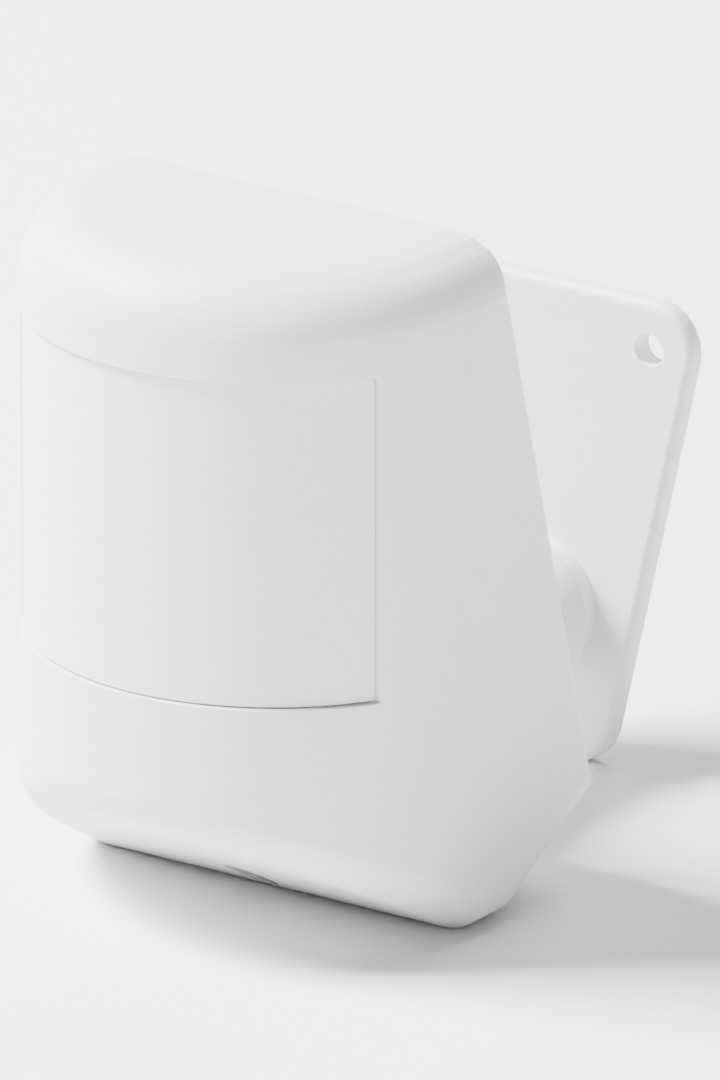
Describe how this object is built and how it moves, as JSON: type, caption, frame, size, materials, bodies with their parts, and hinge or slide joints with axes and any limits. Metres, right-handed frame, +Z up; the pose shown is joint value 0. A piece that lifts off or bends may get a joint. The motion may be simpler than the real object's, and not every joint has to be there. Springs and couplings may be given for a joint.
{
  "type": "motion sensor",
  "caption": "Wall-mounted passive infrared motion sensor: tall round-fronted head with a wide curved lens, on a ball joint and a tapered wall plate.",
  "frame": {"origin": "on the wall, where the ball joint's axis meets the back of the wall plate", "axes": "+Z up, +Y into the wall, +X to the right seen from the front; the head looks along -Y"},
  "size_m": [0.06, 0.0873, 0.085],
  "materials": {
    "case_plastic": "fine spark-eroded texture",
    "lens_milky": "milky polyethylene, satin, faceted behind",
    "black_plastic": "moulded",
    "white_plastic": "moulded acetal",
    "clear_plastic": "moulded polycarbonate",
    "nylon": "natural nylon",
    "liner_rubber": "matt",
    "seal_foam": "closed-cell foam",
    "steel": "turned",
    "zinc_steel": "zinc plated",
    "spring_steel": "nickel plated spring wire and sheet",
    "brass": "knurled",
    "board_green": "solder mask",
    "board_blue": "solder mask",
    "nickel_can": "nickel plated",
    "filter_dark": "coated silicon window",
    "tinned_lead": "tinned",
    "led_red": "diffused epoxy",
    "chip_black": "moulded epoxy",
    "chip_brown": "ceramic",
    "capacitor_sleeve": "shrink sleeve",
    "copper_wire": "enamelled copper",
    "gold_pin": "gold flash",
    "battery_wrap": "printed sleeve, plain"
  },
  "bodies": {
    "wall_mount": {"wall_plate": "case_plastic"},
    "pan_washer": {"swivel_washer": "nylon"},
    "tilt_washer": {"clamp_washer": "steel"},
    "head": {"wave_washer": "spring_steel", "clamp_screw": "zinc_steel", "threaded_insert": "brass", "friction_liner": "liner_rubber", "swivel_arm": "case_plastic", "arm_retainer": "steel", "arm_screws": "zinc_steel", "rear_cover": "case_plastic", "cover_seal": "seal_foam", "cover_screws": "zinc_steel", "front_housing": "case_plastic", "fresnel_lens": "lens_milky", "lens_retainer": "black_plastic", "light_pipe": "clear_plastic", "main_board": "board_green", "board_screws": "zinc_steel", "pir_sensor": "nickel_can", "pir_filter": "filter_dark", "pir_leads": "tinned_lead", "pir_shroud": "black_plastic", "status_led": "led_red", "light_sensor": "chip_black", "microcontroller": "chip_black", "amplifier_chip": "chip_black", "chip_legs": "tinned_lead", "crystal": "nickel_can", "capacitors": "capacitor_sleeve", "small_components": "chip_brown", "radio_board": "board_blue", "radio_shield": "nickel_can", "antenna": "copper_wire", "header_pins": "gold_pin", "battery_holder": "black_plastic", "battery": "battery_wrap", "positive_contact": "spring_steel", "negative_spring": "spring_steel", "tamper_switch": "black_plastic", "tamper_spring": "spring_steel", "pair_switch": "black_plastic"},
    "tamper": {"tamper_plunger": "white_plastic"},
    "pairing": {"pair_button": "white_plastic"}
  },
  "joints": [
    {"name": "head_pan", "type": "hinge", "parent": "wall_mount", "child": "pan_washer", "pos_m": [0, -0.003, 0], "axis": [0, 0, 1], "range_deg": [-15, 15]},
    {"name": "head_tilt", "type": "hinge", "parent": "pan_washer", "child": "tilt_washer", "pos_m": [0, -0.003, 0], "axis": [1, 0, 0], "range_deg": [-15, 15]},
    {"name": "head_roll", "type": "hinge", "parent": "tilt_washer", "child": "head", "pos_m": [0, -0.003, 0], "axis": [0, 1, 0], "range_deg": [-30, 30]},
    {"name": "tamper_travel", "type": "slide", "parent": "head", "child": "tamper", "axis": [0, -1, 0], "range_m": [0, 0.0006], "stiffness_N_per_m": 300, "springref_m": -0.001, "deforming": ["tamper_spring"]},
    {"name": "pairing_travel", "type": "slide", "parent": "head", "child": "pairing", "axis": [0, -1, 0], "range_m": [0, 0.0003], "stiffness_N_per_m": 600, "springref_m": -0.0006}
  ]
}
